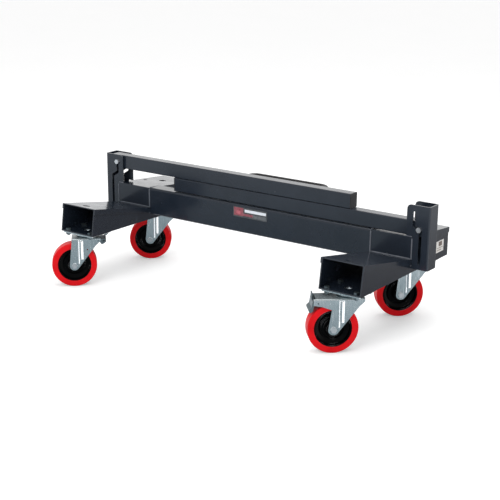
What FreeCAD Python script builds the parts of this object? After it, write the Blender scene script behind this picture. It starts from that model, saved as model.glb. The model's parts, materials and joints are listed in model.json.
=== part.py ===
import FreeCAD, Part
import math
import os
import Sketcher

# Folding sheet-and-board trolley: a box-section beam joins two cross-members
# that stand on four swivel castors. A slotted post at each end of the beam
# holds a hinged tube upright, shown folded flat over the beam.
#
# Axes: X runs along the beam, +X to the right; Y runs to the back; Z is up,
# with the floor at Z = 0. Pieces are drawn about the beam's middle plane, then
# all stand further back by beam_back, which puts the origin on the floor under
# the middle of the trolley's footprint. Sizes in mm.

Vector = FreeCAD.Vector
ABOUT_X = Vector(1, 0, 0)
ABOUT_Y = Vector(0, 1, 0)
ABOUT_Z = Vector(0, 0, 1)

os.makedirs("parts", exist_ok=True)
doc = FreeCAD.newDocument("sheet_trolley")
sheet = doc.addObject("Spreadsheet::Sheet", "Sizes")

SIZES = [
    # main beam
    ("beam_half_length", 470), ("beam_depth", 60), ("beam_height", 100),
    ("beam_wall", 4), ("beam_corner", 7), ("beam_top", 320), ("beam_back", 80),
    # cross-members
    ("arm_width", 150), ("arm_floor", 200), ("arm_wall", 4),
    ("arm_front", 340), ("arm_lip_back", 14), ("arm_lip_top", 298),
    ("arm_step_low", 246), ("arm_rear", 230), ("arm_rear_top", 298),
    ("cover_sheet", 3), ("cover_skirt", 18), ("access_hole", 26),
    ("inspection_hole", 14),
    # posts
    ("post_floor", 216), ("post_top", 425), ("post_wall", 4), ("post_web", 680),
    ("post_depth", 58), ("post_ear", 598), ("post_round", 14), ("post_bend", 6),
    ("slot_width", 10.4), ("slot_inner", 625), ("slot_outer", 648),
    ("slot_head", 399.5), ("slot_jog_top", 358.5), ("slot_jog_low", 344.5),
    ("slot_foot", 238),
    # uprights
    ("tube_height", 50), ("tube_depth", 40), ("tube_wall", 3),
    ("tube_corner", 3.5), ("tube_heel", 30), ("reach_upper", 1008),
    ("reach_lower", 1001), ("cap_flange", 2.5), ("cap_plug", 18),
    ("pivot_upper_x", 625), ("pivot_upper_z", 398),
    ("pivot_lower_x", 644), ("pivot_lower_z", 347),
    ("grip_near", 530), ("grip_far", 868), ("grip_stand_off", 88),
    ("grip_diameter", 25), ("grip_bend", 28),
    # fasteners
    ("bolt_diameter", 10), ("bolt_flats", 16), ("bolt_head", 6.4),
    ("nut_height", 8), ("bolt_clearance", 11), ("bolt_proud", 3),
    ("pivot_running", 0.05),
    # castor layout
    ("castor_x", 545), ("castor_front", 287), ("castor_rear", 135),
    ("trail", 48), ("wheel_radius", 80),
    ("turn_fl", 44), ("turn_fr", 42), ("turn_rl", 36), ("turn_rr", 44),
    # castor head
    ("plate_length", 140), ("plate_width", 106), ("plate_sheet", 4),
    ("plate_corner", 10), ("pitch_x", 105), ("pitch_y", 80),
    ("race_radius", 38), ("race_floor", 188), ("crown_top", 186),
    ("ball_pitch", 30), ("ball_diameter", 8), ("ball_level", 187),
    ("ball_running", 0.06), ("rivet_diameter", 16), ("rivet_head", 26),
    ("rivet_recess", 193), ("rivet_cap", 5), ("rivet_running", 0.05),
    ("rivet_foot", 171),
    # fork
    ("fork_top", 180), ("fork_sheet", 3), ("fork_gap", 60), ("fork_foot", 17),
    ("fork_back", 55), ("fork_nose", 47), ("fork_nose_low", 170),
    ("fork_shoulder", 29), ("fork_shoulder_low", 153), ("fork_lean", 34),
    ("fork_bend", 5), ("crown_back", 104), ("skirt_back", 112), ("skirt_low", 160),
    ("skirt_waist_back", 85), ("skirt_waist_low", 155), ("skirt_root", 144),
    ("rib_height", 0.8), ("rib_rear", 16.5), ("rib_rear_width", 3),
    ("rib_rear_foot", 6), ("rib_front", 27), ("rib_front_width", 6),
    ("rib_front_foot", 24), ("rib_below_top", 6), ("eye_ahead", 47),
    ("eye_up", 59), ("eye_diameter", 5),
    ("axle_diameter", 12), ("sleeve_diameter", 20), ("axle_head", 6),
    ("axle_flats", 17), ("axle_proud", 9),
    # wheel
    ("tyre_width", 46), ("tyre_round", 3.5), ("rim_radius", 59.5),
    ("hub_radius", 25), ("hub_width", 56), ("web_width", 14),
    ("bearing_diameter", 32), ("bearing_width", 12), ("bearing_running", 0.05),
    ("ring_inner", 36), ("ring_outer", 40), ("ring_proud", 6), ("rim_wall", 7),
    ("rim_set_in", 1),
    # brakes
    ("brake_pivot", 5), ("brake_running", 0.05), ("brake_side_gap", 3),
    ("pedal_pin_back", 97), ("pedal_pin_up", 166), ("tab_width", 14),
    ("lever_pin_ahead", 38), ("lever_pin_up", 170),
    # plates on the faces
    ("label_sheet", 0.4), ("label_left", -84), ("label_length", 144),
    ("label_low", 276), ("label_height", 36), ("tag_start", 143),
    ("tag_length", 54), ("tag_low", 224), ("tag_height", 39),
]


class Size:
    """A number together with the expression that gives it."""

    def __init__(self, value, text):
        self.value = float(value)
        self.text = text

    def join(self, other, sign, value):
        return Size(value, "(%s %s %s)" % (self.text, sign, other.text))

    def __add__(self, other):
        other = size(other)
        return self.join(other, "+", self.value + other.value)

    def __sub__(self, other):
        other = size(other)
        return self.join(other, "-", self.value - other.value)

    def __mul__(self, other):
        other = size(other)
        return self.join(other, "*", self.value * other.value)

    def __truediv__(self, other):
        other = size(other)
        return self.join(other, "/", self.value / other.value)

    def __neg__(self):
        return size(0) - self

    def __radd__(self, other):
        return size(other) + self

    def __rsub__(self, other):
        return size(other) - self

    def __rmul__(self, other):
        return size(other) * self


def size(item):
    return item if isinstance(item, Size) else Size(item, "(%r)" % float(item))


class Table:
    """Sizes by name, each one a cell of the sheet."""


d = Table()
for row, (name, number) in enumerate(SIZES, start=1):
    sheet.set("A%d" % row, name)
    sheet.set("B%d" % row, "%r" % float(number))
    sheet.setAlias("B%d" % row, name)
    setattr(d, name, Size(number, "Sizes." + name))
doc.recompute()

nodes = []


def place(item, across, depth, up, turn=0.0):
    """Stand a piece at a point, turned about Z, and move it to the origin."""
    across, up, turn = size(across), size(up), size(turn)
    depth = size(depth) + d.beam_back
    item.Placement = FreeCAD.Placement(
        Vector(across.value, depth.value, up.value),
        FreeCAD.Rotation(ABOUT_Z, turn.value))
    item.setExpression(".Placement.Base.x", across.text)
    item.setExpression(".Placement.Base.y", depth.text)
    item.setExpression(".Placement.Base.z", up.text)
    return item


def keep(item):
    """List a piece for export, standing where it was drawn."""
    nodes.append(item)
    return place(item, 0, 0, 0)


# ---------------------------------------------------------------- helpers

def new_body(label):
    body = doc.addObject("PartDesign::Body", label)
    body.Label = label
    return keep(body)


def origin_plane(body, role):
    return [item for item in body.Origin.OriginFeatures if item.Role == role][0]


def new_sketch(body, name, role, offset=None):
    sketch = body.newObject("Sketcher::SketchObject", body.Label + "_" + name)
    sketch.AttachmentSupport = [(origin_plane(body, role), "")]
    sketch.MapMode = "FlatFace"
    if offset is not None:
        sketch.setExpression(".AttachmentOffset.Base.z", size(offset).text)
    return sketch


def hold(sketch, kind, numbers, amount):
    """Add one dimension to a sketch and tie it to its expression."""
    amount = size(amount)
    index = sketch.addConstraint(Sketcher.Constraint(kind, *numbers, amount.value))
    sketch.renameConstraint(index, "c%d" % index)
    sketch.setExpression("Constraints.c%d" % index, amount.text)


def polygon(sketch, points):
    points = [(size(a), size(b)) for a, b in points]
    corners = [Vector(a.value, b.value, 0) for a, b in points]
    first = sketch.GeometryCount
    for index, start in enumerate(corners):
        end = corners[(index + 1) % len(corners)]
        sketch.addGeometry(Part.LineSegment(start, end), False)
    for index in range(len(corners)):
        follower = first + (index + 1) % len(corners)
        pair = (first + index, 2, follower, 1)
        sketch.addConstraint(Sketcher.Constraint("Coincident", *pair))
    for index, (a, b) in enumerate(points):
        hold(sketch, "DistanceX", (-1, 1, first + index, 1), a)
        hold(sketch, "DistanceY", (-1, 1, first + index, 1), b)


def rectangle(sketch, left, right, low, high):
    polygon(sketch, [(left, low), (right, low), (right, high), (left, high)])


def circle(sketch, across, up, radius):
    across, up, radius = size(across), size(up), size(radius)
    middle = Vector(across.value, up.value, 0)
    ring = Part.Circle(middle, ABOUT_Z, radius.value)
    index = sketch.addGeometry(ring, False)
    hold(sketch, "DistanceX", (-1, 1, index, 3), across)
    hold(sketch, "DistanceY", (-1, 1, index, 3), up)
    hold(sketch, "Radius", (index,), radius)


def finish(body, feature):
    body.Tip = feature
    doc.recompute()
    return feature


def pad(body, sketch, length, middle=False):
    feature = body.newObject("PartDesign::Pad", sketch.Label + "_pad")
    feature.Profile = sketch
    feature.setExpression("Length", size(length).text)
    feature.SideType = "Symmetric" if middle else "One side"
    sketch.Visibility = False
    return finish(body, feature)


def pocket(body, sketch, length=None):
    """Cut both ways from the sketch: by a length, or right through."""
    before = body.Shape.Volume
    feature = body.newObject("PartDesign::Pocket", sketch.Label + "_cut")
    feature.Profile = sketch
    feature.SideType = "Symmetric"
    if length is None:
        feature.Type = "ThroughAll"
    else:
        feature.setExpression("Length", size(length).text)
    sketch.Visibility = False
    finish(body, feature)
    if body.Shape.Volume >= before:
        raise ValueError(sketch.Label + " removes nothing")
    return feature


def cut_rectangle(body, name, role, corners, length=None, offset=None):
    sketch = new_sketch(body, name, role, offset)
    rectangle(sketch, *corners)
    return pocket(body, sketch, length)


def cut_circle(body, name, role, across, up, radius, length=None, offset=None):
    sketch = new_sketch(body, name, role, offset)
    circle(sketch, across, up, radius)
    return pocket(body, sketch, length)


def revolve(body, sketch, axis):
    feature = body.newObject("PartDesign::Revolution", sketch.Label + "_turn")
    feature.Profile = sketch
    feature.ReferenceAxis = (sketch, [axis])
    feature.Angle = 360
    sketch.Visibility = False
    return finish(body, feature)


def groove(body, sketch, axis):
    feature = body.newObject("PartDesign::Groove", sketch.Label + "_groove")
    feature.Profile = sketch
    feature.ReferenceAxis = (sketch, [axis])
    feature.Angle = 360
    sketch.Visibility = False
    return finish(body, feature)


def round_edges(body, name, radius, wanted):
    """Fillet each straight edge whose two ends pass the test."""
    base = body.Tip
    found = []
    for index, edge in enumerate(base.Shape.Edges, start=1):
        ends = [vertex.Point for vertex in edge.Vertexes]
        if len(ends) == 2 and wanted(ends[0], ends[1]):
            found.append("Edge%d" % index)
    feature = body.newObject("PartDesign::Fillet", body.Label + "_" + name)
    feature.Base = (base, found)
    feature.setExpression("Radius", size(radius).text)
    return finish(body, feature)


def near(a, b):
    return abs(a - b) < 0.01


# ---------------------------------------------------------------- main beam

beam = new_body("main_beam")
half_depth = d.beam_depth / 2
section = new_sketch(beam, "section", "YZ_Plane")
rectangle(section, -half_depth, half_depth, d.beam_top - d.beam_height, d.beam_top)
pad(beam, section, d.beam_half_length * 2, middle=True)
round_edges(beam, "corners", d.beam_corner,
            lambda a, b: near(a.y, b.y) and near(a.z, b.z))
cut_rectangle(
    beam, "bore", "YZ_Plane",
    (d.beam_wall - half_depth, half_depth - d.beam_wall,
     d.beam_top - d.beam_height + d.beam_wall, d.beam_top - d.beam_wall))


# ---------------------------------------------------------------- cross-members

def slope(start, end, at):
    """Height at one depth on the straight line between two points."""
    share = (size(at) - start[0]) / (end[0] - start[0])
    return start[1] + share * (end[1] - start[1])


lip_y = d.arm_lip_back - d.arm_front
step_y = -half_depth
front_line = ((lip_y, d.arm_lip_top), (step_y, d.arm_step_low))
rear_line = ((step_y, d.beam_top), (d.arm_rear, d.arm_rear_top))
far_up = d.beam_top + 100


def cross_member(side, low_x):
    """Open-topped folded channel with a wall across it at the beam face."""
    name = "cross_member_" + side
    body = new_body(name)
    outline = new_sketch(body, "outline", "YZ_Plane", low_x)
    polygon(outline, [
        (-d.arm_front, d.arm_floor),
        (d.arm_rear, d.arm_floor),
        (d.arm_rear, d.arm_rear_top - d.cover_sheet),
        (step_y, d.beam_top - d.cover_sheet),
        (step_y, d.arm_step_low - d.cover_sheet),
        (lip_y, d.arm_lip_top - d.cover_sheet)])
    pad(body, outline, d.arm_width)
    inside = new_sketch(body, "inside", "YZ_Plane", low_x + d.arm_width / 2)
    floor = d.arm_floor + d.arm_wall
    under_wall = d.arm_step_low - d.cover_sheet * 2
    polygon(inside, [
        (-d.arm_front - 20, floor),
        (d.arm_rear + 20, floor),
        (d.arm_rear + 20, far_up),
        (step_y + d.arm_wall, far_up),
        (step_y + d.arm_wall, under_wall),
        (step_y, under_wall),
        (step_y, far_up),
        (-d.arm_front - 20, far_up)])
    pocket(body, inside, d.arm_width - d.arm_wall * 2)
    middle_x = low_x + d.arm_width / 2
    for end, centre_y in (("front", -d.castor_front), ("rear", d.castor_rear)):
        floor_cut = d.arm_floor + d.arm_wall / 2
        cut_circle(body, end + "_access", "XY_Plane", middle_x, centre_y,
                   d.access_hole / 2, d.arm_wall * 2, floor_cut)
        bolts = new_sketch(body, end + "_bolts", "XY_Plane", floor_cut)
        for across in (-1, 1):
            for deep in (-1, 1):
                circle(bolts, middle_x + d.pitch_x / 2 * across,
                       centre_y + d.pitch_y / 2 * deep, d.bolt_clearance / 2)
        pocket(body, bolts, d.arm_wall * 2)
    return body


def front_cover(side, low_x):
    """Sloping cover plate of the front arm, its skirts outside the channel."""
    body = new_body("front_cover_" + side)
    drop = d.cover_skirt
    outline = new_sketch(body, "outline", "YZ_Plane", low_x - d.cover_sheet)
    polygon(outline, [
        (lip_y, d.arm_lip_top),
        (lip_y - drop * 0.14, d.arm_lip_top - drop),
        (step_y, d.arm_step_low - drop),
        (step_y, d.arm_step_low)])
    pad(body, outline, d.arm_width + d.cover_sheet * 2)
    under = new_sketch(body, "under", "YZ_Plane", low_x + d.arm_width / 2)
    polygon(under, [
        (lip_y - 20, slope(*front_line, lip_y - 20) - d.cover_sheet),
        (step_y + 20, slope(*front_line, step_y + 20) - d.cover_sheet),
        (step_y + 20, d.arm_floor),
        (lip_y - 20, d.arm_floor)])
    pocket(body, under, d.arm_width)
    cut_circle(body, "access", "XY_Plane", low_x + d.arm_width / 2,
               -d.castor_front, d.access_hole / 2)
    return body


def rear_cover(side, low_x):
    """Cover plate of the rear arm; it is plain where beam and post meet it."""
    body = new_body("rear_cover_" + side)
    top = new_sketch(body, "top", "YZ_Plane", low_x)
    polygon(top, [
        (step_y, d.beam_top),
        (d.arm_rear, d.arm_rear_top),
        (d.arm_rear, d.arm_rear_top - d.cover_sheet),
        (step_y, d.beam_top - d.cover_sheet)])
    pad(body, top, d.arm_width)
    start_top = slope(*rear_line, half_depth)
    skirt = new_sketch(body, "skirt", "YZ_Plane", low_x - d.cover_sheet)
    polygon(skirt, [
        (half_depth, start_top),
        (d.arm_rear, d.arm_rear_top),
        (d.arm_rear, d.arm_rear_top - d.cover_skirt),
        (half_depth, start_top - d.cover_skirt)])
    pad(body, skirt, d.arm_width + d.cover_sheet * 2)
    under = new_sketch(body, "under", "YZ_Plane", low_x + d.arm_width / 2)
    polygon(under, [
        (step_y - 10, slope(*rear_line, step_y - 10) - d.cover_sheet),
        (d.arm_rear + 10, slope(*rear_line, d.arm_rear + 10) - d.cover_sheet),
        (d.arm_rear + 10, d.arm_floor),
        (step_y - 10, d.arm_floor)])
    pocket(body, under, d.arm_width)
    middle_x = low_x + d.arm_width / 2
    cut_circle(body, "access", "XY_Plane", middle_x, d.castor_rear,
               d.access_hole / 2)
    cut_circle(body, "inspection", "XY_Plane", middle_x - d.pitch_x / 2,
               d.castor_rear - d.pitch_y / 2, d.inspection_hole / 2)
    return body


arm_sides = (("left", -d.beam_half_length - d.arm_width),
             ("right", d.beam_half_length))
for side, low_x in arm_sides:
    cross_member(side, low_x)
    front_cover(side, low_x)
    rear_cover(side, low_x)


# ---------------------------------------------------------------- posts

def slot_leg(body, name, start, end):
    """One straight leg of the slot, cut through both flanges."""
    (x0, z0), (x1, z1) = start, end
    run = math.hypot(x1.value - x0.value, z1.value - z0.value)
    side_x = (z0 - z1) / run * d.slot_width / 2
    side_z = (x1 - x0) / run * d.slot_width / 2
    leg = new_sketch(body, name, "XZ_Plane")
    polygon(leg, [
        (x0 + side_x, z0 + side_z), (x1 + side_x, z1 + side_z),
        (x1 - side_x, z1 - side_z), (x0 - side_x, z0 - side_z)])
    pocket(body, leg)


# the posts' front flanges lie in the plane of the beam's front face
post_middle = (d.post_depth - d.beam_depth) / 2


def post(side, sign):
    """Folded channel, open to the middle, with a jogged slot in each flange."""
    body = new_body("post_" + side)
    outer = d.post_web * sign
    seat = (d.beam_half_length + d.arm_width) * sign
    ear = d.post_ear * sign
    outline = new_sketch(body, "outline", "XZ_Plane", -post_middle)
    polygon(outline, [
        (seat, d.post_floor), (outer, d.post_floor), (outer, d.post_top),
        (ear, d.post_top), (ear, d.beam_top), (seat, d.beam_top)])
    pad(body, outline, d.post_depth, middle=True)
    channel = new_sketch(body, "channel", "XZ_Plane", -post_middle)
    polygon(channel, [
        (ear - sign * 20, d.post_floor - 10),
        (outer - d.post_wall * sign, d.post_floor - 10),
        (outer - d.post_wall * sign, d.post_top + 10),
        (ear - sign * 20, d.post_top + 10)])
    pocket(body, channel, d.post_depth - d.post_wall * 2)
    flange = d.post_depth.value / 2
    round_edges(body, "bends", d.post_bend,
                lambda a, b: near(a.x, outer.value) and near(b.x, outer.value)
                and near(abs(a.y - post_middle.value), flange)
                and near(a.y, b.y))
    round_edges(body, "ears", d.post_round,
                lambda a, b: near(a.x, ear.value) and near(b.x, ear.value)
                and near(a.z, d.post_top.value) and near(b.z, d.post_top.value))
    line = [(d.slot_inner * sign, d.slot_head),
            (d.slot_inner * sign, d.slot_jog_top),
            (d.slot_outer * sign, d.slot_jog_low),
            (d.slot_outer * sign, d.slot_foot)]
    for index, (start, end) in enumerate(zip(line, line[1:])):
        slot_leg(body, "leg%d" % index, start, end)
    for index, (across, up) in enumerate(line):
        cut_circle(body, "turn%d" % index, "XZ_Plane", across, up,
                   d.slot_width / 2)
    return body


post("left", -1)
post("right", 1)


# ---------------------------------------------------------------- uprights

half_tube = d.tube_height / 2
half_tube_depth = d.tube_depth / 2
tube_rear = post_middle + half_tube_depth


def tube_section(body, name, start, wall=0):
    """The tube's outline, or its bore when a wall is taken off."""
    sketch = new_sketch(body, name, "YZ_Plane", start)
    across = half_tube_depth - wall
    up = half_tube - wall
    rectangle(sketch, -across, across, -up, up)
    return sketch


def round_tube(body):
    round_edges(body, "corners", d.tube_corner,
                lambda a, b: near(a.y, b.y) and near(a.z, b.z))


def upright(side, pivot, reach, turn):
    """Rectangular tube, drawn along +X from its pivot hole."""
    body = new_body("upright_" + side)
    pad(body, tube_section(body, "section", -d.tube_heel), d.tube_heel + reach)
    round_tube(body)
    pocket(body, tube_section(body, "bore", 0, d.tube_wall))
    cut_circle(body, "pivot", "XZ_Plane", 0, 0,
               d.bolt_diameter / 2 + d.pivot_running)
    return place(body, pivot[0], post_middle, pivot[1], turn)


def end_cap(side, pivot, reach, turn):
    """Plastic insert: a flange over the tube end and a hollow plug."""
    body = new_body("end_cap_" + side)
    pad(body, tube_section(body, "flange", reach), d.cap_flange)
    round_tube(body)
    stem_start = reach - d.cap_plug
    pad(body, tube_section(body, "plug", stem_start, d.tube_wall), d.cap_plug)
    hollow = tube_section(body, "hollow", stem_start, d.tube_wall * 2)
    pocket(body, hollow, d.cap_plug * 2)
    return place(body, pivot[0], post_middle, pivot[1], turn)


def cylinder(name, radius, height, point, axis=ABOUT_Z, angle=0):
    item = doc.addObject("Part::Cylinder", name)
    item.setExpression("Radius", size(radius).text)
    item.setExpression("Height", size(height).text)
    item.Placement = FreeCAD.Placement(point, FreeCAD.Rotation(axis, angle))
    return item


def elbow(name, point, start_angle):
    item = doc.addObject("Part::Torus", name)
    item.setExpression("Radius1", d.grip_bend.text)
    item.setExpression("Radius2", (d.grip_diameter / 2).text)
    item.Angle3 = 90
    item.Placement = FreeCAD.Placement(
        point, FreeCAD.Rotation(ABOUT_Z, start_angle))
    return item


def handle(side, pivot, sign):
    """Bow handle on the back of the upright: two legs, two bends, a grip."""
    name = "handle_" + side
    radius = d.grip_diameter / 2
    bend = d.grip_bend.value
    stand = d.grip_stand_off.value
    face = tube_rear.value
    near_x = d.grip_near.value + radius.value
    far_x = d.grip_far.value - radius.value
    across, level = pivot[0].value, pivot[1].value
    ends = sorted((across + sign * near_x, across + sign * far_x))
    leg = d.grip_stand_off - tube_rear - d.grip_bend
    grip = d.grip_far - d.grip_near - d.grip_diameter - d.grip_bend * 2
    pieces = [
        cylinder(name + "_leg_a", radius, leg, Vector(ends[0], face, level),
                 ABOUT_X, -90),
        cylinder(name + "_leg_b", radius, leg, Vector(ends[1], face, level),
                 ABOUT_X, -90),
        cylinder(name + "_grip", radius, grip,
                 Vector(ends[0] + bend, stand, level), ABOUT_Y, 90),
        elbow(name + "_bend_a", Vector(ends[0] + bend, stand - bend, level), 90),
        elbow(name + "_bend_b", Vector(ends[1] - bend, stand - bend, level), 0),
    ]
    whole = doc.addObject("Part::MultiFuse", name)
    whole.Shapes = pieces
    whole.Refine = True
    whole.Label = name
    return keep(whole)


upper = (-d.pivot_upper_x, d.pivot_upper_z)
lower = (d.pivot_lower_x, d.pivot_lower_z)
for side, pivot, reach, turn, sign in (
        ("left", upper, d.reach_upper, 0, 1),
        ("right", lower, d.reach_lower, 180, -1)):
    upright(side, pivot, reach, turn)
    end_cap(side, pivot, reach, turn)
    handle(side, pivot, sign)


# ---------------------------------------------------------------- fasteners

def hex_prism(name, flats, height, point, axis=ABOUT_Z, angle=0):
    item = doc.addObject("Part::Prism", name)
    item.Polygon = 6
    item.setExpression("Circumradius", "%s / 2 / cos(30 deg)" % size(flats).text)
    item.setExpression("Height", size(height).text)
    item.Placement = FreeCAD.Placement(point, FreeCAD.Rotation(axis, angle))
    return item


def hex_bolt(name, head_point, shank, angle):
    """Head standing on a point, turned about X, shank running the other way."""
    cap = hex_prism(name + "_head", d.bolt_flats, d.bolt_head, head_point,
                    ABOUT_X, angle)
    stem = cylinder(name + "_shank", d.bolt_diameter / 2, shank,
                    head_point, ABOUT_X, angle + 180)
    bolt = doc.addObject("Part::Fuse", name)
    bolt.Base = cap
    bolt.Tool = stem
    return bolt


def hex_nut(name, point, angle):
    block = hex_prism(name + "_block", d.bolt_flats, d.nut_height, point,
                      ABOUT_X, angle)
    hole = cylinder(name + "_hole", d.bolt_diameter / 2, d.nut_height, point,
                    ABOUT_X, angle)
    nut = doc.addObject("Part::Cut", name)
    nut.Base = block
    nut.Tool = hole
    return nut


def group(name, items):
    whole = doc.addObject("Part::Compound", name)
    whole.Links = items
    whole.Label = name
    return keep(whole)


front_face = -d.beam_depth.value / 2
pivot_bolts = []
pivot_nuts = []
rear_face = front_face + d.post_depth.value
pivot_shank = d.post_depth + d.nut_height + d.bolt_proud
for side, (pivot_x, pivot_z) in (("left", upper), ("right", lower)):
    at = Vector(pivot_x.value, front_face, pivot_z.value)
    pivot_bolts.append(hex_bolt("pivot_bolt_" + side, at, pivot_shank, 90))
    behind = Vector(pivot_x.value, rear_face, pivot_z.value)
    pivot_nuts.append(hex_nut("pivot_nut_" + side, behind, -90))
group("pivot_bolts", pivot_bolts)
group("pivot_nuts", pivot_nuts)


# ---------------------------------------------------------------- castors

class Castor:
    """Where one castor stands and how far its fork is turned at rest."""

    def __init__(self, name, across, depth, turn):
        self.name = name
        self.across = across
        self.depth = depth
        self.turn = turn

    def stand(self, item, up=0.0, back=0.0):
        """Place a piece on the fork; back is its distance behind the pivot."""
        angle = math.radians(self.turn.value)
        across = self.across - size(back) * math.cos(angle)
        depth = self.depth - size(back) * math.sin(angle)
        return place(item, across, depth, up, self.turn)


castors = [
    Castor("fl", -d.castor_x, -d.castor_front, d.turn_fl),
    Castor("fr", d.castor_x, -d.castor_front, d.turn_fr),
    Castor("rl", -d.castor_x, d.castor_rear, d.turn_rl),
    Castor("rr", d.castor_x, d.castor_rear, d.turn_rr),
]
plate_floor = d.arm_floor - d.plate_sheet


def race_groove(body):
    track = new_sketch(body, "track", "XZ_Plane")
    circle(track, d.ball_pitch, d.ball_level, d.ball_diameter / 2 + d.ball_running)
    groove(body, track, "V_Axis")


def castor_plate(castor):
    body = new_body("castor_plate_" + castor.name)
    outline = new_sketch(body, "outline", "XY_Plane", plate_floor)
    half_x = d.plate_length / 2
    half_y = d.plate_width / 2
    rectangle(outline, -half_x, half_x, -half_y, half_y)
    pad(body, outline, d.plate_sheet)
    round_edges(body, "corners", d.plate_corner,
                lambda a, b: near(a.x, b.x) and near(a.y, b.y))
    boss = new_sketch(body, "boss", "XY_Plane", d.race_floor)
    circle(boss, 0, 0, d.race_radius)
    pad(body, boss, plate_floor - d.race_floor)
    race_groove(body)
    cut_circle(body, "bore", "XY_Plane", 0, 0, d.rivet_diameter / 2)
    recess = (d.arm_floor - d.rivet_recess) * 2
    cut_circle(body, "recess", "XY_Plane", 0, 0, d.rivet_head / 2 + 1,
               recess, d.arm_floor)
    bolts = new_sketch(body, "bolts", "XY_Plane")
    for across in (-1, 1):
        for deep in (-1, 1):
            circle(bolts, d.pitch_x / 2 * across, d.pitch_y / 2 * deep,
                   d.bolt_clearance / 2)
    pocket(body, bolts)
    return place(body, castor.across, castor.depth, 0)


BALLS_PER_RACE = 12


def ball_race(castor):
    balls = []
    for index in range(BALLS_PER_RACE):
        ball = doc.addObject("Part::Sphere", "ball_%s_%d" % (castor.name, index))
        ball.setExpression("Radius", (d.ball_diameter / 2).text)
        angle = 2 * math.pi * index / BALLS_PER_RACE
        ball.Placement.Base = Vector(
            castor.across.value + d.ball_pitch.value * math.cos(angle),
            castor.depth.value + d.ball_pitch.value * math.sin(angle),
            d.ball_level.value)
        balls.append(ball)
    return group("ball_race_" + castor.name, balls)


fork_inner = d.fork_gap / 2
fork_outer = fork_inner + d.fork_sheet
axle_x = -d.trail
lean = math.radians(d.fork_lean.value)
BRAKED = "fr"
TOE_BRAKED = "fl"


def fork_profile(castor):
    """Side view of a fork leg, from the front corner down and round the foot."""
    back = -d.fork_back
    points = [
        (d.fork_nose, d.fork_top),
        (d.fork_nose, d.fork_nose_low),
        (d.fork_shoulder, d.fork_shoulder_low),
        (axle_x + d.fork_foot * math.cos(lean),
         d.wheel_radius - d.fork_foot * math.sin(lean)),
        (axle_x - d.fork_foot, d.wheel_radius),
    ]
    if castor.name != BRAKED:
        return points + [(back, d.fork_top)]
    # the braked fork carries a skirt back over the wheel
    return points + [
        (back, d.skirt_root),
        (-d.skirt_waist_back, d.skirt_waist_low),
        (-d.skirt_back, d.skirt_low),
        (-d.skirt_back, d.fork_top)]


def fork_rib(body, name, across, width, foot):
    """A stiffening rib that stands out from both legs."""
    rib = new_sketch(body, name, "XZ_Plane")
    rectangle(rib, across - width / 2, across + width / 2,
              d.wheel_radius + foot, d.fork_top - d.rib_below_top)
    pad(body, rib, (fork_outer + d.rib_height) * 2, middle=True)


def fork(castor):
    """Pressed channel: crown, two tapering legs, ribs and the ball seat."""
    body = new_body("fork_" + castor.name)
    outline = new_sketch(body, "outline", "XZ_Plane")
    polygon(outline, fork_profile(castor))
    pad(body, outline, fork_outer * 2, middle=True)
    foot = new_sketch(body, "foot", "XZ_Plane")
    circle(foot, axle_x, d.wheel_radius, d.fork_foot)
    pad(body, foot, fork_outer * 2, middle=True)
    fork_rib(body, "rear_rib", axle_x + d.rib_rear, d.rib_rear_width,
             d.rib_rear_foot)
    fork_rib(body, "front_rib", axle_x + d.rib_front, d.rib_front_width,
             d.rib_front_foot)
    clear_of_fork = d.skirt_back * 2
    cut_rectangle(body, "channel", "XZ_Plane",
                  (-clear_of_fork, clear_of_fork, 0, d.fork_top - d.fork_sheet),
                  d.fork_gap)
    round_edges(body, "bends", d.fork_bend,
                lambda a, b: near(a.z, d.fork_top.value)
                and near(b.z, d.fork_top.value) and near(a.y, b.y)
                and near(abs(a.y), fork_outer.value))
    seat = new_sketch(body, "seat", "XY_Plane", d.fork_top)
    circle(seat, 0, 0, d.race_radius)
    pad(body, seat, d.crown_top - d.fork_top)
    race_groove(body)
    cut_circle(body, "bore", "XY_Plane", 0, 0,
               d.rivet_diameter / 2 + d.rivet_running)
    cut_circle(body, "axle", "XZ_Plane", axle_x, d.wheel_radius,
               d.axle_diameter / 2)
    pin_hole = d.brake_pivot / 2 + d.brake_running
    if castor.name == TOE_BRAKED:
        cut_circle(body, "eye", "XZ_Plane", axle_x + d.eye_ahead,
                   d.wheel_radius + d.eye_up, d.eye_diameter / 2)
        cut_circle(body, "brake_pin", "XZ_Plane", d.lever_pin_ahead,
                   d.lever_pin_up, pin_hole)
    if castor.name == BRAKED:
        cut_circle(body, "brake_pin", "XZ_Plane", -d.pedal_pin_back,
                   d.pedal_pin_up, pin_hole)
        # room for the toe tab between the ends of the skirts
        cut_rectangle(body, "tab_notch", "XZ_Plane",
                      (-clear_of_fork, -d.crown_back,
                       d.fork_top - d.fork_sheet, d.fork_top), d.fork_gap)
    return castor.stand(body)


def kingpin(castor):
    """Rivet that holds the fork to the plate, headed at both ends."""
    def disc(name, diameter, height, up):
        at = Vector(castor.across.value, castor.depth.value, up.value)
        return cylinder(name + castor.name, diameter / 2, height, at)

    under_crown = d.fork_top - d.fork_sheet
    whole = doc.addObject("Part::MultiFuse", "rivet_" + castor.name)
    whole.Shapes = [
        disc("rivet_stem_", d.rivet_diameter,
             d.rivet_recess + d.rivet_cap - d.rivet_foot, d.rivet_foot),
        disc("rivet_top_", d.rivet_head, d.rivet_cap, d.rivet_recess),
        disc("rivet_low_", d.rivet_head,
             under_crown - d.rivet_foot - d.rivet_running, d.rivet_foot),
    ]
    whole.Refine = True
    return whole


def hexagon(sketch, flats):
    """Hexagon about the sketch origin, one corner on the horizontal axis."""
    reach = flats / 2 / math.cos(math.radians(30))
    points = []
    for index in range(6):
        angle = math.radians(60 * index)
        points.append((reach * round(math.cos(angle), 12),
                       reach * round(math.sin(angle), 12)))
    polygon(sketch, points)


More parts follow.
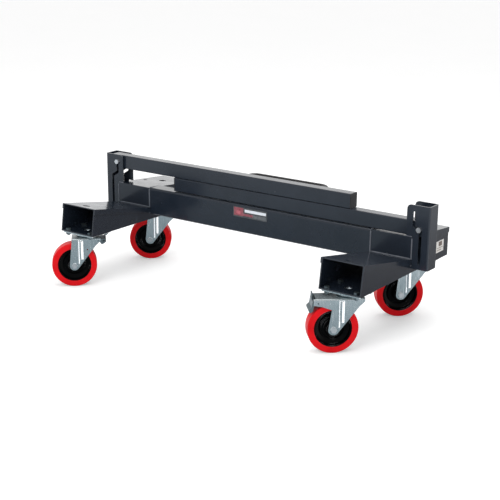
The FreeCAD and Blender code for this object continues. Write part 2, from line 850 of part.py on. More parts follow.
def axle_pieces(castor):
    """Bolt, nut and sleeve, drawn about the axle line."""
    bolt = new_body("axle_bolt_" + castor.name)
    stem = new_sketch(bolt, "stem", "XZ_Plane", -fork_outer - d.axle_proud)
    circle(stem, 0, 0, d.axle_diameter / 2)
    pad(bolt, stem, fork_outer * 2 + d.axle_proud)
    head = new_sketch(bolt, "head", "XZ_Plane", fork_outer)
    hexagon(head, d.axle_flats)
    pad(bolt, head, d.axle_head)
    castor.stand(bolt, d.wheel_radius, d.trail)

    nut = new_body("axle_nut_" + castor.name)
    block = new_sketch(nut, "block", "XZ_Plane", -fork_outer - d.nut_height)
    hexagon(block, d.axle_flats)
    pad(nut, block, d.nut_height)
    cut_circle(nut, "thread", "XZ_Plane", 0, 0, d.axle_diameter / 2)
    castor.stand(nut, d.wheel_radius, d.trail)

    sleeve = new_body("axle_sleeve_" + castor.name)
    ring = new_sketch(sleeve, "ring", "XZ_Plane")
    circle(ring, 0, 0, d.sleeve_diameter / 2)
    pad(sleeve, ring, d.fork_gap, middle=True)
    cut_circle(sleeve, "bore", "XZ_Plane", 0, 0, d.axle_diameter / 2)
    castor.stand(sleeve, d.wheel_radius, d.trail)


def wheel_pieces(castor):
    """Bearings, centre and tyre, turned about the axle line."""
    half_hub = d.hub_width / 2
    half_web = d.web_width / 2
    half_tyre = d.tyre_width / 2
    bearing_r = d.bearing_diameter / 2
    bore_r = d.sleeve_diameter / 2 + d.bearing_running

    rings = []
    for side, near_y in (("near", -half_hub), ("far", half_hub - d.bearing_width)):
        ring = doc.addObject("Part::Cut", "bearing_%s_%s" % (castor.name, side))
        at = Vector(0, near_y.value, 0)
        ring.Base = cylinder(ring.Name + "_outer", bearing_r, d.bearing_width,
                             at, ABOUT_X, -90)
        ring.Tool = cylinder(ring.Name + "_bore", bore_r, d.bearing_width,
                             at, ABOUT_X, -90)
        rings.append(ring)
    pair = group("wheel_bearings_" + castor.name, rings)
    castor.stand(pair, d.wheel_radius, d.trail)

    centre = new_body("wheel_centre_" + castor.name)
    seat = half_hub - d.bearing_width
    outline = new_sketch(centre, "outline", "XY_Plane")
    ring_face = half_web + d.ring_proud
    well = d.rim_radius - d.rim_wall
    rim_face = half_tyre - d.rim_set_in
    upper_half = [
        (bore_r + 2, seat), (bearing_r, seat), (bearing_r, half_hub),
        (d.hub_radius - 3, half_hub), (d.hub_radius, half_hub - 8),
        (d.hub_radius + 1, half_web), (d.ring_inner, half_web),
        (d.ring_inner, ring_face), (d.ring_outer, ring_face),
        (d.ring_outer, half_web), (well, half_web + 3),
        (well + 2, rim_face), (d.rim_radius, rim_face)]
    lower_half = [(r, -size(y)) for r, y in reversed(upper_half)]
    polygon(outline, upper_half + lower_half)
    revolve(centre, outline, "V_Axis")
    castor.stand(centre, d.wheel_radius, d.trail)

    tyre = new_body("tyre_" + castor.name)
    outline = new_sketch(tyre, "outline", "XY_Plane")
    edge = d.tyre_round
    top_half = [
        (d.rim_radius, rim_face), (d.rim_radius + 3, half_tyre),
        (d.wheel_radius - edge, half_tyre),
        (d.wheel_radius - edge * 0.3, half_tyre - edge * 0.3),
        (d.wheel_radius, half_tyre - edge)]
    low_half = [(r, -y) for r, y in reversed(top_half)]
    polygon(outline, top_half + low_half)
    revolve(tyre, outline, "V_Axis")
    castor.stand(tyre, d.wheel_radius, d.trail)


kingpins = []
castor_bolts = []
castor_nuts = []
arm_inside = d.arm_floor + d.arm_wall
castor_shank = d.arm_wall + d.plate_sheet + d.nut_height + d.bolt_proud
for castor in castors:
    castor_plate(castor)
    ball_race(castor)
    fork(castor)
    axle_pieces(castor)
    wheel_pieces(castor)
    kingpins.append(kingpin(castor))
    for across in (-1, 1):
        for deep in (-1, 1):
            spot = "_%s_%d_%d" % (castor.name, across + 1, deep + 1)
            bolt_x = castor.across.value + across * d.pitch_x.value / 2
            bolt_y = castor.depth.value + deep * d.pitch_y.value / 2
            castor_bolts.append(hex_bolt(
                "castor_bolt" + spot, Vector(bolt_x, bolt_y, arm_inside.value),
                castor_shank, 0))
            castor_nuts.append(hex_nut(
                "castor_nut" + spot, Vector(bolt_x, bolt_y, plate_floor.value),
                180))
group("kingpins", kingpins)
group("castor_bolts", castor_bolts)
group("castor_nuts", castor_nuts)


# ---------------------------------------------------------------- brakes

def brake_piece(name, castor, points, pin_x, pin_z):
    """A bent plate between the fork legs, with its hinge pin through both."""
    body = new_body(name + castor.name)
    outline = new_sketch(body, "outline", "XZ_Plane")
    polygon(outline, points)
    pad(body, outline, d.fork_gap - d.brake_side_gap * 2, middle=True)
    pin = new_sketch(body, "pin", "XZ_Plane")
    circle(pin, pin_x, pin_z, d.brake_pivot / 2)
    pad(body, pin, (fork_outer + 1) * 2, middle=True)
    castor.stand(body)
    return body


def brake_pedal(castor):
    """Foot pedal behind the braked front fork: plate, pad and toe tab."""
    x, z = -d.pedal_pin_back, d.pedal_pin_up
    body = brake_piece("brake_pedal_", castor, [
        (x + 8, z - 4), (x + 8, z + 4), (x - 11, z + 6), (x - 16, z + 30),
        (x - 19, z + 30), (x - 17, z + 2), (x - 20, z - 14),
        (x - 29, z - 23), (x - 25, z - 33), (x - 15, z - 26),
        (x - 13, z - 10)], x, z)
    # the tab stands up from the middle of the pad only
    trim = (d.fork_gap - d.tab_width) / 2
    for name, side in (("tab_near", 1), ("tab_far", -1)):
        cut_rectangle(body, name, "XZ_Plane",
                      (x - 33, x - 11.5, z + 6.5, z + 34), trim,
                      (d.tab_width + trim) / 2 * side)


def brake_lever(castor):
    """Two-pronged toe lever in front of the other front fork."""
    x, z = d.lever_pin_ahead, d.lever_pin_up
    brake_piece("brake_lever_", castor, [
        (x - 4, z - 4), (x + 4, z - 4), (x + 12, z - 15), (x + 20, z - 12),
        (x + 28, z - 6), (x + 28, z - 3), (x + 16, z - 4), (x + 16, z - 1),
        (x + 28, z + 2), (x + 28, z + 5), (x + 12, z + 5), (x - 4, z + 4)], x, z)


brake_lever(castors[0])
brake_pedal(castors[1])


# ---------------------------------------------------------------- labels

def thin_plate(name, long_side, deep_side, high_side, corner):
    item = doc.addObject("Part::Box", name)
    item.Label = name
    item.setExpression("Length", size(long_side).text)
    item.setExpression("Width", size(deep_side).text)
    item.setExpression("Height", size(high_side).text)
    keep(item)
    return place(item, *corner)


thin_plate("name_plate", d.label_length, d.label_sheet, d.label_height,
           (d.label_left, -half_depth - d.label_sheet, d.label_low))
thin_plate("load_label", d.label_sheet, d.tag_length, d.tag_height,
           (d.beam_half_length + d.arm_width, d.tag_start, d.tag_low))


# ---------------------------------------------------------------- export

doc.recompute()
for item in doc.Objects:
    if "Invalid" in item.State or "Error" in item.State:
        raise ValueError("%s is %s" % (item.Label, item.State))
for item in nodes:
    if item.Shape.isNull() or not item.Shape.isValid():
        raise ValueError(item.Label + " has no valid shape")
for item in nodes:
    item.Shape.exportStep("parts/%s.step" % item.Label)
print(len(nodes), "pieces written")
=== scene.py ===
import json
import math
import random

import bmesh
import bpy
from mathutils import Matrix, Vector


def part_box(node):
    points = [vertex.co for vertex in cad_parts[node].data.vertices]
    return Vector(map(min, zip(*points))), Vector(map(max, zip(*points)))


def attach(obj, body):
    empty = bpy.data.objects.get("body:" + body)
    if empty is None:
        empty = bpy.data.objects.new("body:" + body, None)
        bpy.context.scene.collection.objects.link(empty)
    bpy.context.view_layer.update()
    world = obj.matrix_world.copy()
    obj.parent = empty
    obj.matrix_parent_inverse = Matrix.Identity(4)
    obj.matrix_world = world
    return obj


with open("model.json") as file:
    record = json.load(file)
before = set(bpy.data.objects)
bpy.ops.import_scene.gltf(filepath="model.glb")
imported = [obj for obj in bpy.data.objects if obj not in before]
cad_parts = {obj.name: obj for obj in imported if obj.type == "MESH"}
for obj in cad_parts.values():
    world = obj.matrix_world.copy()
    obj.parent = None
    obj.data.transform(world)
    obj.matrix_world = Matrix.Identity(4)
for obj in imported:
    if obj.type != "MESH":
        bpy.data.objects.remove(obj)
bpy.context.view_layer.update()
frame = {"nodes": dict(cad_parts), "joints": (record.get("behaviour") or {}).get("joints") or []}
nodes = frame["nodes"]
rng = random.Random(7)
MM = 0.001
CORNERS = ("fl", "fr", "rl", "rr")
# the beam's middle plane, in millimetres
BEAM_Y = (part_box("main_beam")[0].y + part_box("main_beam")[1].y) / 2 / MM


# ------------------------------------------------------------ materials

# inputs and output of the colour version of the Mix node: share, first, second
MIX_SOCKETS = (0, 6, 7)
MIX_RESULT = 2


class Shader:
    """A small helper around one material's node tree."""

    def __init__(self, name):
        self.material = bpy.data.materials.new(name)
        self.material.use_nodes = True
        self.tree = self.material.node_tree
        self.shader = self.tree.nodes["Principled BSDF"]
        self.place = self.add("ShaderNodeTexCoord").outputs["Object"]

    def add(self, kind, **settings):
        node = self.tree.nodes.new(kind)
        for key, value in settings.items():
            setattr(node, key, value)
        return node

    def link(self, source, target):
        self.tree.links.new(source, target)

    def noise(self, scale, detail=3.0, rough=0.5, stretch=None):
        node = self.add("ShaderNodeTexNoise")
        node.inputs["Scale"].default_value = scale
        node.inputs["Detail"].default_value = detail
        node.inputs["Roughness"].default_value = rough
        place = self.place
        if stretch is not None:
            mapping = self.add("ShaderNodeMapping")
            mapping.inputs["Scale"].default_value = stretch
            self.link(place, mapping.inputs["Vector"])
            place = mapping.outputs["Vector"]
        self.link(place, node.inputs["Vector"])
        return node.outputs["Fac"]

    def ramp(self, source, stops):
        node = self.add("ShaderNodeValToRGB")
        bar = node.color_ramp
        while len(bar.elements) < len(stops):
            bar.elements.new(0.5)
        for element, (at, colour) in zip(bar.elements, stops):
            element.position = at
            if not isinstance(colour, tuple):
                colour = (colour, colour, colour)
            element.color = (*colour, 1.0)
        self.link(source, node.inputs["Fac"])
        return node.outputs["Color"]

    def mix(self, share, first, second):
        node = self.add("ShaderNodeMix", data_type="RGBA")
        for index, value in zip(MIX_SOCKETS, (share, first, second)):
            if isinstance(value, bpy.types.NodeSocket):
                self.link(value, node.inputs[index])
            elif isinstance(value, tuple):
                node.inputs[index].default_value = (*value, 1.0)
            else:
                node.inputs[index].default_value = value
        return node.outputs[MIX_RESULT]

    def maths(self, operation, first, second=0.0):
        node = self.add("ShaderNodeMath", operation=operation)
        for index, value in enumerate((first, second)):
            if isinstance(value, bpy.types.NodeSocket):
                self.link(value, node.inputs[index])
            else:
                node.inputs[index].default_value = value
        return node.outputs[0]

    def set(self, name, value):
        target = self.shader.inputs[name]
        if isinstance(value, bpy.types.NodeSocket):
            self.link(value, target)
        elif isinstance(value, tuple):
            target.default_value = (*value, 1.0)
        else:
            target.default_value = value

    def bump(self, height, strength, distance=0.001):
        node = self.add("ShaderNodeBump")
        node.inputs["Strength"].default_value = strength
        node.inputs["Distance"].default_value = distance
        self.link(height, node.inputs["Height"])
        self.link(node.outputs["Normal"], self.shader.inputs["Normal"])

    def axes(self, source=None):
        """The X, Y and Z outputs of a direction or place."""
        split = self.add("ShaderNodeSeparateXYZ")
        self.link(source or self.place, split.inputs[0])
        return split.outputs

    def streaks(self):
        """Fine marks drawn out along Z, as on plated sheet."""
        return self.noise(140.0, 3.0, 0.6, stretch=(1.0, 1.0, 0.15))

    def edges(self, radius=0.0015):
        """Zero on flat faces, one near a sharp edge."""
        bevel = self.add("ShaderNodeBevel", samples=4)
        bevel.inputs["Radius"].default_value = radius
        place = self.add("ShaderNodeNewGeometry")
        dot = self.add("ShaderNodeVectorMath", operation="DOT_PRODUCT")
        self.link(bevel.outputs["Normal"], dot.inputs[0])
        self.link(place.outputs["Normal"], dot.inputs[1])
        return self.maths("SUBTRACT", 1.0, dot.outputs["Value"])


def powder_coat(name, dark, light, rough):
    s = Shader(name)
    cloud = s.noise(7.0, 4.0)
    speck = s.noise(900.0, 2.0)
    body = s.ramp(cloud, [(0.3, dark), (0.7, light)])
    # lighter grey near sharp edges, broken up by noise: partly edge wear, partly a painted highlight
    # along the edges
    wear_and_edge_highlight = s.maths("MULTIPLY", s.edges(), s.noise(60.0, 5.0))
    wear_and_edge_highlight_share = s.ramp(wear_and_edge_highlight, [(0.06, 0.0), (0.22, 0.45)])
    s.set("Base Color", s.mix(wear_and_edge_highlight_share, body, (0.10, 0.105, 0.11)))
    s.set("Roughness", s.ramp(s.noise(18.0, 5.0), [(0.3, rough - 0.05), (0.75, rough + 0.07)]))
    s.set("Coat Weight", 0.25)
    s.set("Coat Roughness", 0.12)
    s.bump(speck, 0.10, 0.0004)
    return s.material


def zinc(name, dark, light, rough):
    s = Shader(name)
    s.set("Metallic", 1.0)
    cloud = s.noise(45.0, 5.0, 0.6)
    s.set("Base Color", s.ramp(cloud, [(0.25, dark), (0.75, light)]))
    s.set("Roughness", s.ramp(s.streaks(), [(0.3, rough - 0.08), (0.7, rough + 0.1)]))
    s.bump(s.noise(220.0, 2.0), 0.05, 0.0004)
    return s.material


# heights between which a fork turns from bright legs to its crown, painted dark and dull as shade
# under the castor plate
LEGS_END, CROWN_START = 0.1788, 0.1802


def fork_zinc(name):
    """Zinc legs under a crown painted darker and less metallic: painted shade under the castor plate.
    """
    s = Shader(name)
    crown_shade = s.ramp(s.axes()["Z"], [(LEGS_END, 0.0), (CROWN_START, 1.0)])
    legs = s.ramp(s.noise(45.0, 5.0, 0.6),
                  [(0.25, (0.66, 0.73, 0.75)), (0.75, (0.80, 0.86, 0.88))])
    # the crown's dark, dull colour is painted shade under the castor plate
    s.set("Base Color", s.mix(crown_shade, legs, (0.018, 0.042, 0.052)))
    s.set("Metallic", s.maths("SUBTRACT", 1.0, s.maths("MULTIPLY", crown_shade, 0.85)))
    s.set("Roughness", s.ramp(s.streaks(), [(0.3, 0.14), (0.7, 0.30)]))
    s.bump(s.noise(220.0, 2.0), 0.04, 0.0004)
    return s.material


def wheel_centre_black(name):
    """Glossy black nylon whose moulded edges catch the light in places."""
    s = Shader(name)
    body = s.ramp(s.noise(25.0, 4.0),
                  [(0.3, (0.0008, 0.0008, 0.001)), (0.7, (0.002, 0.002, 0.0025))])
    patch = s.ramp(s.noise(16.0, 2.0), [(0.50, 0.0), (0.62, 1.0)])
    glint = s.maths("MULTIPLY", s.ramp(s.edges(0.0016), [(0.05, 0.0), (0.2, 1.0)]), patch)
    s.set("Base Color", s.mix(glint, body, (0.34, 0.34, 0.36)))
    s.set("Roughness", s.ramp(s.noise(60.0, 4.0), [(0.3, 0.10), (0.7, 0.24)]))
    s.set("Specular IOR Level", 0.09)
    s.bump(s.noise(500.0, 2.0), 0.04, 0.0005)
    return s.material


def moulded(name, dark, light, rough, grain=700.0, strength=0.12, shine=0.4):
    s = Shader(name)
    s.set("Base Color", s.ramp(s.noise(25.0, 4.0), [(0.3, dark), (0.7, light)]))
    s.set("Roughness", s.ramp(s.noise(60.0, 4.0), [(0.3, rough - 0.06), (0.7, rough + 0.1)]))
    s.set("Specular IOR Level", shine)
    s.bump(s.noise(grain, 2.0), strength, 0.0005)
    return s.material


def tread(name):
    """Red tread; the light it throws on its neighbours is kept nearly grey."""
    s = Shader(name)
    red = s.ramp(s.noise(20.0, 4.0),
                 [(0.3, (0.60, 0.004, 0.008)), (0.7, (0.74, 0.007, 0.012))])
    path = s.add("ShaderNodeLightPath")
    s.set("Base Color", s.mix(path.outputs["Is Diffuse Ray"], red, (0.22, 0.16, 0.16)))
    s.set("Specular IOR Level", 0.10)
    s.set("Roughness", s.ramp(s.noise(40.0, 5.0), [(0.3, 0.30), (0.7, 0.46)]))
    s.bump(s.noise(260.0, 3.0), 0.08, 0.0005)
    return s.material


coat = powder_coat("coat", (0.010, 0.015, 0.024), (0.016, 0.022, 0.033), 0.22)
coat_bar = powder_coat("coat_bar", (0.011, 0.016, 0.025), (0.017, 0.023, 0.034), 0.22)
zinc_bright = zinc("zinc_bright", (0.62, 0.70, 0.72), (0.78, 0.84, 0.86), 0.22)
fork_steel = fork_zinc("fork_steel")
# the ribs get a paler zinc than the legs they are pressed from: a painted highlight on the ribs
zinc_rib_highlight = zinc("zinc_rib_highlight", (0.90, 0.94, 0.96), (0.97, 0.99, 1.0), 0.20)
zinc_bolt = zinc("zinc_bolt", (0.72, 0.74, 0.76), (0.88, 0.90, 0.92), 0.34)
zinc_dark = zinc("zinc_dark", (0.16, 0.20, 0.22), (0.26, 0.31, 0.33), 0.38)
race_steel = zinc("race_steel", (0.50, 0.50, 0.51), (0.70, 0.70, 0.72), 0.18)
black_cap = moulded("black_cap", (0.010, 0.010, 0.011), (0.018, 0.018, 0.020), 0.42)
grip_black = moulded("grip_black", (0.004, 0.004, 0.005), (0.009, 0.009, 0.010), 0.5, 500.0, 0.2, 0.2)
nylon_black = wheel_centre_black("nylon_black")
red_tread = tread("red_tread")
# weld beads in a coat much lighter than the frame's: a painted highlight along the beads
weld_highlight_coat = powder_coat("weld_coat_with_painted_highlight", (0.06, 0.07, 0.085), (0.12, 0.13, 0.155), 0.16)


def window(s, value, low, high):
    """One inside a range of a coordinate, zero outside it."""
    above = s.maths("GREATER_THAN", value, low)
    below = s.maths("LESS_THAN", value, high)
    return s.maths("MULTIPLY", above, below)


def printed(name, node, across, field, blocks, rough):
    """Plain blocks of colour on a flat piece's field; no lettering.

    A block is its left, right, bottom and top as shares of the piece, and its colour.
    """
    s = Shader(name)
    axes = s.axes()
    low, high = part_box(node)
    left_end, right_end = getattr(low, across.lower()), getattr(high, across.lower())
    wide, tall = right_end - left_end, high.z - low.z
    colour = field
    for (left, right, bottom, top), paint in blocks:
        sideways = window(s, axes[across], left_end + wide * left, left_end + wide * right)
        upwards = window(s, axes["Z"], low.z + tall * bottom, low.z + tall * top)
        colour = s.mix(s.maths("MULTIPLY", sideways, upwards), colour, paint)
    dust = s.ramp(s.noise(60.0), [(0.3, 0.0), (0.7, 0.12)])
    s.set("Base Color", s.mix(dust, colour, (0.3, 0.3, 0.3)))
    s.set("Roughness", s.ramp(s.noise(80.0), [(0.3, rough[0]), (0.7, rough[1])]))
    s.bump(s.noise(300.0), 0.05, 0.0003)
    return s.material


# a dark plate with a red block, a pale bar, a short red bar and a grey area
NAME_PLATE_FIELD = (0.045, 0.050, 0.056)
NAME_PLATE_BLOCKS = (
    ((0.02, 0.30, 0.14, 0.94), (0.26, 0.055, 0.075)),
    ((0.10, 0.22, 0.30, 0.62), (0.44, 0.10, 0.13)),
    ((0.34, 0.97, 0.56, 0.84), (0.70, 0.74, 0.80)),
    ((0.30, 0.58, 0.18, 0.42), (0.24, 0.055, 0.075)),
    ((0.58, 0.97, 0.10, 0.42), (0.10, 0.11, 0.12)),
)
# a pale film with a brown block and two bars
LOAD_LABEL_FIELD = (0.80, 0.78, 0.75)
LOAD_LABEL_BLOCKS = (
    ((0.34, 0.78, 0.52, 0.92), (0.15, 0.11, 0.09)),
    ((0.12, 0.92, 0.34, 0.42), (0.34, 0.30, 0.26)),
    ((0.12, 0.70, 0.14, 0.24), (0.34, 0.30, 0.26)),
)


def dress(piece, material):
    piece.data.materials.clear()
    piece.data.materials.append(material)


LOOKS = (
    ("upright_", coat_bar), ("main_beam", coat), ("cross_member", coat),
    ("front_cover", coat), ("rear_cover", coat), ("post_", coat),
    ("end_cap", black_cap), ("handle_", grip_black), ("pivot_", zinc_bolt),
    ("castor_bolts", zinc_dark), ("castor_nuts", zinc_dark),
    ("kingpins", zinc_bolt), ("castor_plate", zinc_bright),
    ("fork_", fork_steel), ("ball_race", race_steel),
    ("axle_bolt", zinc_bolt), ("axle_nut", zinc_bolt),
    ("axle_sleeve", zinc_bright), ("wheel_bearings", race_steel),
    ("wheel_centre", nylon_black), ("tyre_", red_tread),
    ("brake_", zinc_dark),
)
for name, piece in nodes.items():
    for prefix, material in LOOKS:
        if name.startswith(prefix):
            dress(piece, material)
dress(nodes["name_plate"], printed(
    "name_plate_print", "name_plate", "X", NAME_PLATE_FIELD, NAME_PLATE_BLOCKS, (0.22, 0.34)))
dress(nodes["load_label"], printed(
    "load_label_print", "load_label", "Y", LOAD_LABEL_FIELD, LOAD_LABEL_BLOCKS, (0.26, 0.4)))


# ------------------------------------------------------------ weld beads

def skin(mesh, rings):
    """Faces between rings of equal count, closed at both ends."""
    for first, second in zip(rings, rings[1:]):
        for index in range(len(first)):
            after = (index + 1) % len(first)
            mesh.faces.new((first[index], first[after], second[after], second[index]))
    mesh.faces.new(list(reversed(rings[0])))
    mesh.faces.new(rings[-1])


# millimetres: x and z as in the frame, y from the beam's middle plane
SEAM_X, OUTER_X, EAR_X = 470, 620, 598
FRONT_FACE, BACK_FACE = -30, 30
FRONT_FLANGE, BACK_FLANGE = -30, 28
RUN_FOOT, SEAM_TOP, OUTER_TOP, EAR_Z, LOW_RUN_Z = 222, 318, 316, 321, 247
TOP_RUN_FRONT_Z, TOP_RUN_BACK_Z, TOP_RUN_HALF = 320.5, 318, 28
EAR_INSET = 0.97
FAT_BEAD, PLAIN_BEAD, THIN_BEAD = 2.8, 2.6, 2.0
BEAD_STEP, BEAD_RIPPLE, BEAD_JITTER, BEAD_SIDES = 0.9, 4.6, 0.12, 8


def bead(mesh, start, end, radius):
    """A rippled weld run between two points, added to a bmesh."""
    back = Vector((0, BEAM_Y, 0))
    start, end = (Vector(start) + back) * MM, (Vector(end) + back) * MM
    along = end - start
    length = along.length
    along.normalize()
    side = along.orthogonal().normalized()
    other = along.cross(side)
    steps = max(6, int(length / (BEAD_STEP * MM)))
    angles = [2 * math.pi * index / BEAD_SIDES for index in range(BEAD_SIDES)]
    rings = []
    for step in range(steps + 1):
        share = step / steps
        ripple = 0.82 + 0.18 * abs(math.sin(share * length / (BEAD_RIPPLE * MM) * math.pi))
        taper = min(1.0, 0.45 + 8.0 * min(share, 1.0 - share))
        wobble = 1.0 + rng.uniform(-0.06, 0.06)
        reach = radius * MM * ripple * taper * wobble
        middle = start + along * length * share
        middle += (side * rng.uniform(-1, 1) + other * rng.uniform(-1, 1)) * BEAD_JITTER * MM
        rings.append([
            mesh.verts.new(middle + (side * math.cos(angle) + other * math.sin(angle)) * reach)
            for angle in angles])
    skin(mesh, rings)


def finish_mesh(mesh, name, material, body):
    """A smooth, dressed piece from a bmesh, riding one body of the frame."""
    bmesh.ops.recalc_face_normals(mesh, faces=mesh.faces)
    data = bpy.data.meshes.new(name)
    mesh.to_mesh(data)
    mesh.free()
    data.shade_smooth()
    piece = bpy.data.objects.new(name, data)
    bpy.context.scene.collection.objects.link(piece)
    dress(piece, material)
    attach(piece, body)


def weld_runs():
    """The weld runs that join each post and its box to the beam."""
    for sign, side in ((-1, "left"), (1, "right")):
        mesh = bmesh.new()
        seam, outer, ear = SEAM_X * sign, OUTER_X * sign, EAR_X * sign
        for face, flange in ((FRONT_FACE, FRONT_FLANGE), (BACK_FACE, BACK_FLANGE)):
            inset = flange * EAR_INSET
            bead(mesh, (seam, face, RUN_FOOT), (seam, face, SEAM_TOP), FAT_BEAD)
            bead(mesh, (outer, flange, RUN_FOOT), (outer, flange, OUTER_TOP), PLAIN_BEAD)
            bead(mesh, (ear, inset, EAR_Z), (outer, inset, EAR_Z), THIN_BEAD)
        bead(mesh, (seam, FRONT_FACE, LOW_RUN_Z), (outer, FRONT_FACE, LOW_RUN_Z), FAT_BEAD)
        bead(mesh, (seam, -TOP_RUN_HALF, TOP_RUN_FRONT_Z),
             (seam, TOP_RUN_HALF, TOP_RUN_BACK_Z), THIN_BEAD)
        # the beads wear the lighter coat, a painted highlight
        finish_mesh(mesh, "weld_" + side, weld_highlight_coat, "frame")


weld_runs()


# ------------------------------------------------------------ castor details

def castor_frame(corner):
    """The fork's forward and sideways directions, and its axle point."""
    joints = {joint["name"]: joint for joint in frame["joints"]}
    side = Vector(joints["wheel_spin_" + corner]["axis"])
    ahead = Vector((side.y, -side.x, 0.0))
    axle = Vector(joints["wheel_spin_" + corner]["pos_m"])
    return ahead, side, axle


# a leg's outer face from the wheel's middle plane, and the ribs' top above the axle
SHEET_FACE, RIB_TOP = 0.0329, 0.096
# each rib: how far ahead of the axle, its foot above the axle, half width, height of its ridge
RIBS = ((0.0168, 0.005, 0.0028, 0.0022), (0.0272, 0.021, 0.0056, 0.0038))
RIB_STEPS = 24
# across a rib from back to front, and how high the sheet is pressed there
RIB_SHAPE = ((-1.0, 0.0), (-0.96, 0.45), (-0.86, 0.80), (-0.70, 0.97), (-0.55, 1.0),
             (-0.40, 0.95), (0.0, 0.66), (0.5, 0.32), (0.85, 0.09), (1.0, 0.0))


def pressed_rib(mesh, start, height, ahead, out, wide, deep):
    """A tall rib on a flat face: a steep back and a long slope to the front."""
    rings = []
    for step in range(RIB_STEPS + 1):
        share = step / RIB_STEPS
        to_end = min(share, 1.0 - share) * height
        swell = math.sin(math.pi / 2 * min(1.0, (to_end + 0.0004) / (wide * 1.5)))
        middle = start + Vector((0.0, 0.0, height * share))
        rings.append([
            mesh.verts.new(middle + ahead * across * wide + out * up * deep * swell)
            for across, up in RIB_SHAPE])
    skin(mesh, rings)


def fork_ribs(corner):
    """The two pressed stiffening ribs on each leg, rounded over."""
    ahead, side, axle = castor_frame(corner)
    mesh = bmesh.new()
    for sign in (-1, 1):
        out = side * sign
        for shift, foot, wide, deep in RIBS:
            base = axle + ahead * shift + out * SHEET_FACE + Vector((0, 0, foot))
            pressed_rib(mesh, base, RIB_TOP - foot, ahead, out, wide, deep)
    # the ribs wear the paler zinc, a painted highlight
    finish_mesh(mesh, "ribs_" + corner, zinc_rib_highlight, "fork_" + corner + "_group")


for corner in CORNERS:
    fork_ribs(corner)


# ------------------------------------------------------------ studio

FLOOR_HALF = 14.0
FLOOR_GLOW_SEEN, FLOOR_GLOW_MIRRORED = 0.28, 0.30


def floor_piece():
    """White to the eye; what the trolley's metal mirrors of it goes by heading."""
    mesh = bmesh.new()
    bmesh.ops.create_grid(mesh, x_segments=4, y_segments=4, size=FLOOR_HALF)
    data = bpy.data.meshes.new("floor")
    mesh.to_mesh(data)
    mesh.free()
    floor = bpy.data.objects.new("floor", data)
    bpy.context.scene.collection.objects.link(floor)
    s = Shader("floor_white")
    path = s.add("ShaderNodeLightPath")
    pale = s.ramp(s.noise(2.0), [(0.3, 0.93), (0.7, 0.95)])
    # mirrored colour goes by the compass heading of the mirrored ray
    back_along = s.add("ShaderNodeNewGeometry").outputs["Incoming"]
    level = s.add("ShaderNodeVectorMath", operation="MULTIPLY")
    level.inputs[1].default_value = (-1.0, -1.0, 0.0)
    s.link(back_along, level.inputs[0])
    heading = s.add("ShaderNodeVectorMath", operation="NORMALIZE")
    s.link(level.outputs["Vector"], heading.inputs[0])
    north = s.axes(heading.outputs["Vector"])["Y"]
    half = s.maths("MULTIPLY", s.maths("ADD", north, 1.0), 0.5)
    near = s.ramp(half, [
        (0.28, (0.15, 0.187, 0.208)), (0.38, (1.0, 1.0, 1.0)),
        (0.74, (0.95, 0.97, 1.0)), (0.84, (0.085, 0.07, 0.065))])
    distance = s.add("ShaderNodeVectorMath", operation="LENGTH")
    s.link(s.place, distance.inputs[0])
    far = s.ramp(s.maths("MULTIPLY", distance.outputs["Value"], 0.25),
                 [(0.2, 0.0), (0.8, 1.0)])
    grey = s.mix(far, near, (0.70, 0.73, 0.76))
    mirrored = path.outputs["Is Glossy Ray"]
    s.set("Base Color", s.mix(mirrored, pale, grey))
    s.set("Emission Color", s.mix(mirrored, (1.0, 1.0, 1.0), grey))
    glow_seen = s.maths("MULTIPLY", path.outputs["Is Camera Ray"], FLOOR_GLOW_SEEN)
    glow_mirrored = s.maths("MULTIPLY", mirrored, FLOOR_GLOW_MIRRORED)
    s.set("Emission Strength", s.maths("ADD", glow_seen, glow_mirrored))
    s.set("Roughness", 0.8)
    dress(floor, s.material)


floor_piece()


# sky brightness for light on the scene, for the camera and for mirrored rays
SKY_LIGHT, SKY_SEEN, SKY_MIRRORED = 0.7, 1.05, 1.25


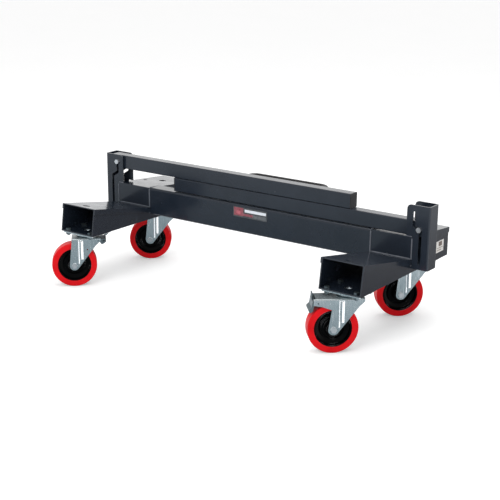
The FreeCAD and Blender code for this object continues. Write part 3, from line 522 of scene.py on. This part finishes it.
def studio_world():
    """White to the eye; reflections see a bright sweep behind and dim sides."""
    world = bpy.data.worlds.new("studio")
    bpy.context.scene.world = world
    world.use_nodes = True
    tree = world.node_tree
    plain = tree.nodes["Background"]
    plain.inputs["Color"].default_value = (1.0, 1.0, 1.0, 1.0)
    plain.inputs["Strength"].default_value = SKY_LIGHT
    seen = tree.nodes.new("ShaderNodeBackground")
    seen.inputs["Strength"].default_value = SKY_SEEN
    mirrored = tree.nodes.new("ShaderNodeBackground")
    place = tree.nodes.new("ShaderNodeTexCoord")
    split = tree.nodes.new("ShaderNodeSeparateXYZ")
    tree.links.new(place.outputs["Generated"], split.inputs[0])
    behind = tree.nodes.new("ShaderNodeValToRGB")
    for element, (at, grey) in zip(behind.color_ramp.elements, ((0.25, 0.35), (0.75, 1.0))):
        element.position = at
        element.color = (grey, grey, grey, 1.0)
    half = tree.nodes.new("ShaderNodeMath")
    half.operation = "MULTIPLY_ADD"
    half.inputs[1].default_value = 0.5
    half.inputs[2].default_value = 0.5
    tree.links.new(split.outputs["Y"], half.inputs[0])
    tree.links.new(half.outputs[0], behind.inputs["Fac"])
    tree.links.new(behind.outputs["Color"], mirrored.inputs["Color"])
    mirrored.inputs["Strength"].default_value = SKY_MIRRORED
    path = tree.nodes.new("ShaderNodeLightPath")
    choose = tree.nodes.new("ShaderNodeMixShader")
    tree.links.new(path.outputs["Is Glossy Ray"], choose.inputs["Fac"])
    tree.links.new(plain.outputs[0], choose.inputs[1])
    tree.links.new(mirrored.outputs[0], choose.inputs[2])
    show = tree.nodes.new("ShaderNodeMixShader")
    tree.links.new(path.outputs["Is Camera Ray"], show.inputs["Fac"])
    tree.links.new(choose.outputs[0], show.inputs[1])
    tree.links.new(seen.outputs[0], show.inputs[2])
    tree.links.new(show.outputs[0], tree.nodes["World Output"].inputs["Surface"])


studio_world()
bpy.context.scene.view_settings.view_transform = "Standard"
bpy.context.scene.view_settings.look = "None"


def soft_light(name, place, target, wide, tall, power):
    data = bpy.data.lights.new(name, "AREA")
    data.shape = "RECTANGLE"
    data.size = wide
    data.size_y = tall
    data.energy = power
    lamp = bpy.data.objects.new(name, data)
    bpy.context.scene.collection.objects.link(lamp)
    lamp.location = place
    aim = Vector(target) - Vector(place)
    lamp.rotation_euler = aim.to_track_quat("-Z", "Y").to_euler()


soft_light("top", (0.2, 0.2, 3.4), (0, 0, 0.2), 3.4, 3.4, 52)
soft_light("key_front", (0.6, -3.6, 2.6), (0, 0, 0.15), 2.2, 1.6, 56)


# ------------------------------------------------------------ camera

CAMERA_AZIMUTH, CAMERA_ELEVATION, CAMERA_ROLL = 35.63, 16.533, 0.51
CAMERA_PLACE = (2.275311, -3.139701, 1.328384)
CAMERA_LENS, CAMERA_SENSOR = 84.07, 36.0


def photo_camera():
    """The photograph's viewing angle."""
    azimuth = math.radians(CAMERA_AZIMUTH)
    elevation = math.radians(CAMERA_ELEVATION)
    roll = math.radians(CAMERA_ROLL)
    ahead = Vector((-math.sin(azimuth) * math.cos(elevation),
                    math.cos(azimuth) * math.cos(elevation),
                    -math.sin(elevation)))
    right = Vector((math.cos(azimuth), math.sin(azimuth), 0.0))
    up = right.cross(ahead)
    turned_right = right * math.cos(roll) + up * math.sin(roll)
    turned_up = up * math.cos(roll) - right * math.sin(roll)
    data = bpy.data.cameras.new("photo_view")
    data.lens = CAMERA_LENS
    data.sensor_width = CAMERA_SENSOR
    camera = bpy.data.objects.new("photo_view", data)
    turn = Matrix((turned_right, turned_up, -ahead)).transposed().to_4x4()
    camera.matrix_world = Matrix.Translation(Vector(CAMERA_PLACE)) @ turn
    bpy.context.scene.collection.objects.link(camera)
    bpy.context.scene.camera = camera


photo_camera()
